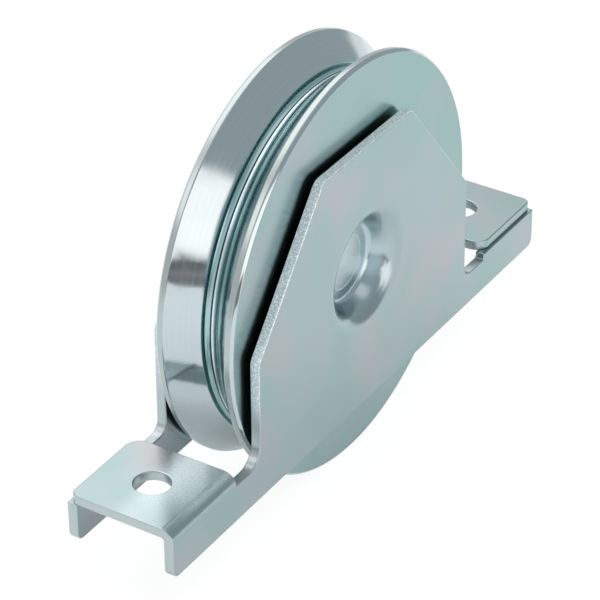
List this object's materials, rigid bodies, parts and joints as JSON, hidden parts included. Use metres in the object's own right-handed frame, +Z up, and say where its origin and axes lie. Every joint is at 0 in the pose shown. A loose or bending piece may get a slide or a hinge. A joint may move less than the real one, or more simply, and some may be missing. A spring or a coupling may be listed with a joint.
{
  "type": "sliding gate wheel",
  "caption": "V-grooved steel wheel on a sealed ball bearing, riveted between two folded side plates whose end tabs bolt under a sliding gate.",
  "frame": {"origin": "middle of the two bolt holes, on the top face of the mounting tabs", "axes": "+X along the bracket, +Y across it from the near plate to the far one, +Z up, from the track towards the gate"},
  "size_m": [0.19, 0.033, 0.12],
  "materials": {
    "zinc_sheet": "bright zinc plate on pressed sheet",
    "zinc_wheel": "bright zinc plate on turned steel",
    "zinc_pin": "zinc plate on a riveted pin",
    "bearing_steel": "ground and polished",
    "cage_steel": "pressed strip",
    "shield_steel": "pressed and bright",
    "spring_steel": "dark oiled"
  },
  "bodies": {
    "bracket": {"side_plate_near": "zinc_sheet", "side_plate_far": "zinc_sheet", "axle": "zinc_pin", "bearing_inner_ring": "bearing_steel"},
    "wheel_set": {"wheel": "zinc_wheel", "bearing_outer_ring": "bearing_steel", "shield_near": "shield_steel", "shield_far": "shield_steel", "retaining_ring": "spring_steel"},
    "ball_cage": {"cage_half_near": "cage_steel", "cage_half_far": "cage_steel", "cage_rivets": "cage_steel", "bearing_ball_1": "bearing_steel", "bearing_ball_2": "bearing_steel", "bearing_ball_3": "bearing_steel", "bearing_ball_4": "bearing_steel", "bearing_ball_5": "bearing_steel", "bearing_ball_6": "bearing_steel", "bearing_ball_7": "bearing_steel", "bearing_ball_8": "bearing_steel"}
  },
  "joints": [
    {"name": "wheel_spin", "type": "hinge", "parent": "bracket", "child": "wheel_set", "pos_m": [0, 0, 0.0275], "axis": [0, 1, 0], "continuous": true},
    {"name": "cage_spin", "type": "hinge", "parent": "bracket", "child": "ball_cage", "pos_m": [0, 0, 0.0275], "axis": [0, 1, 0], "continuous": true}
  ],
  "couplings": [
    {"joint": "cage_spin", "follows": "wheel_spin", "ratio": 0.61843}
  ]
}
